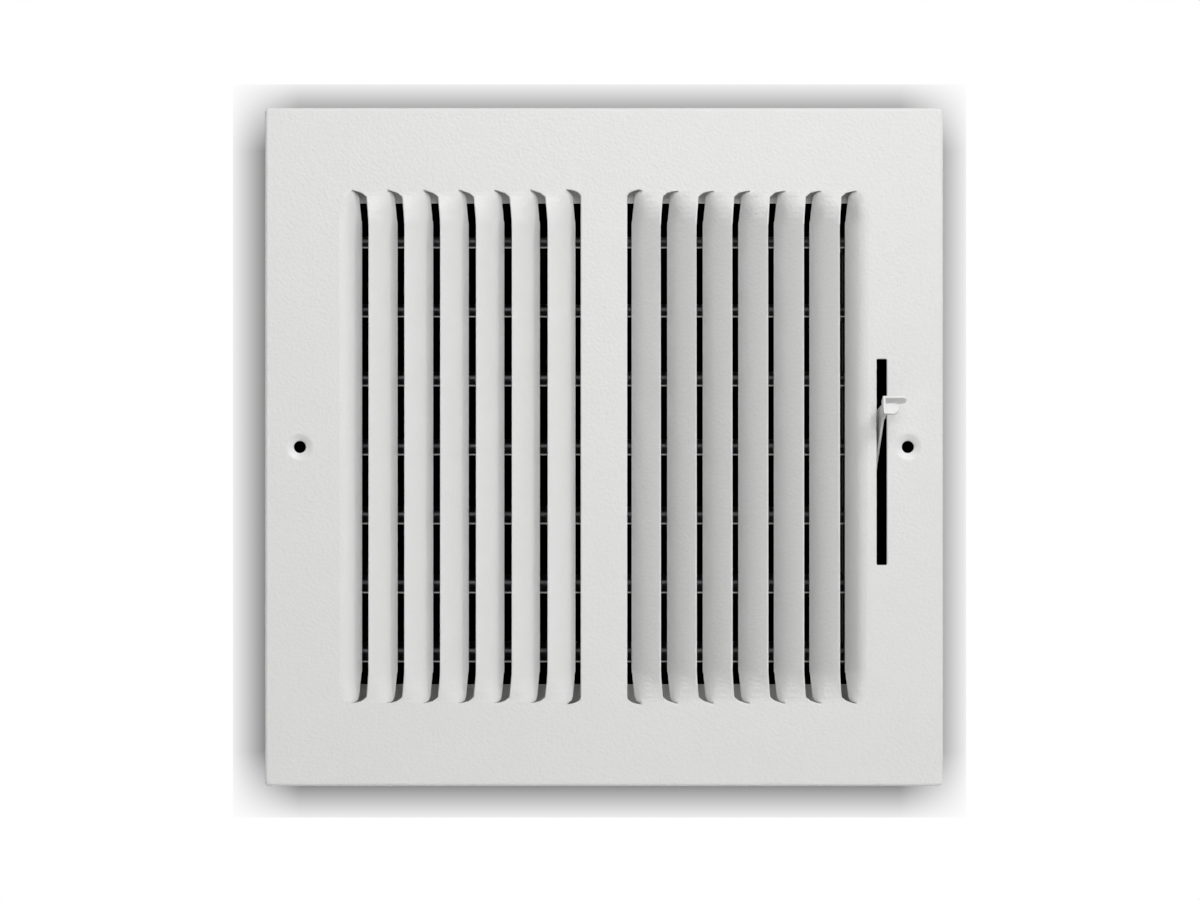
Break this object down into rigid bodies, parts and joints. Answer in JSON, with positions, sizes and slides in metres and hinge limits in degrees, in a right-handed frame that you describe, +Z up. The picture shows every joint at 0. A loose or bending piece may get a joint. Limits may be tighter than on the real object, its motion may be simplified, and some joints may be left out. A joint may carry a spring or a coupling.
{
  "type": "sidewall register",
  "caption": "Square stamped-steel wall register with two banks of vertical louvre fins and, behind them, a shutter damper of linked blades set by a side lever.",
  "frame": {"origin": "centre of the face in the plane of the wall, where the rim's back edge rests", "axes": "+X to the right seen from the room, +Y into the wall, +Z up"},
  "size_m": [0.2476, 0.0507, 0.2476],
  "materials": {
    "white_paint": "semi-gloss",
    "zinc_steel": "satin",
    "fibre": "matte"
  },
  "bodies": {
    "frame": {"face_plate": "white_paint", "top_rail": "white_paint", "bottom_rail": "white_paint", "left_side_plate": "white_paint", "right_side_plate": "white_paint", "friction_washer": "fibre"},
    "drive": {"shutter_blade_4": "zinc_steel", "lever": "white_paint"},
    "blade_1": {"shutter_blade_1": "zinc_steel"},
    "blade_2": {"shutter_blade_2": "zinc_steel"},
    "blade_3": {"shutter_blade_3": "zinc_steel"},
    "blade_5": {"shutter_blade_5": "zinc_steel"},
    "blade_6": {"shutter_blade_6": "zinc_steel"},
    "blade_7": {"shutter_blade_7": "zinc_steel"},
    "link": {"link_bar": "zinc_steel"}
  },
  "joints": [
    {"name": "lever_swing", "type": "hinge", "parent": "frame", "child": "drive", "pos_m": [0, 0.01565, 0], "axis": [1, 0, 0], "range_deg": [-12.4, 71]},
    {"name": "blade_1_turn", "type": "hinge", "parent": "frame", "child": "blade_1", "pos_m": [0, 0.01565, 0.0762], "axis": [1, 0, 0], "range_deg": [-12.4, 71]},
    {"name": "blade_2_turn", "type": "hinge", "parent": "frame", "child": "blade_2", "pos_m": [0, 0.01565, 0.0508], "axis": [1, 0, 0], "range_deg": [-12.4, 71]},
    {"name": "blade_3_turn", "type": "hinge", "parent": "frame", "child": "blade_3", "pos_m": [0, 0.01565, 0.0254], "axis": [1, 0, 0], "range_deg": [-12.4, 71]},
    {"name": "blade_5_turn", "type": "hinge", "parent": "frame", "child": "blade_5", "pos_m": [0, 0.01565, -0.0254], "axis": [1, 0, 0], "range_deg": [-12.4, 71]},
    {"name": "blade_6_turn", "type": "hinge", "parent": "frame", "child": "blade_6", "pos_m": [0, 0.01565, -0.0508], "axis": [1, 0, 0], "range_deg": [-12.4, 71]},
    {"name": "blade_7_turn", "type": "hinge", "parent": "frame", "child": "blade_7", "pos_m": [0, 0.01565, -0.0762], "axis": [1, 0, 0], "range_deg": [-12.4, 71]},
    {"name": "link_turn", "type": "hinge", "parent": "drive", "child": "link", "pos_m": [0.091, 0.02467, -0.00283], "axis": [1, 0, 0], "range_deg": [-71, 12.4]}
  ],
  "couplings": [
    {"joint": "blade_1_turn", "follows": "lever_swing", "ratio": 1},
    {"joint": "blade_2_turn", "follows": "lever_swing", "ratio": 1},
    {"joint": "blade_3_turn", "follows": "lever_swing", "ratio": 1},
    {"joint": "blade_5_turn", "follows": "lever_swing", "ratio": 1},
    {"joint": "blade_6_turn", "follows": "lever_swing", "ratio": 1},
    {"joint": "blade_7_turn", "follows": "lever_swing", "ratio": 1},
    {"joint": "link_turn", "follows": "lever_swing", "ratio": -1}
  ]
}
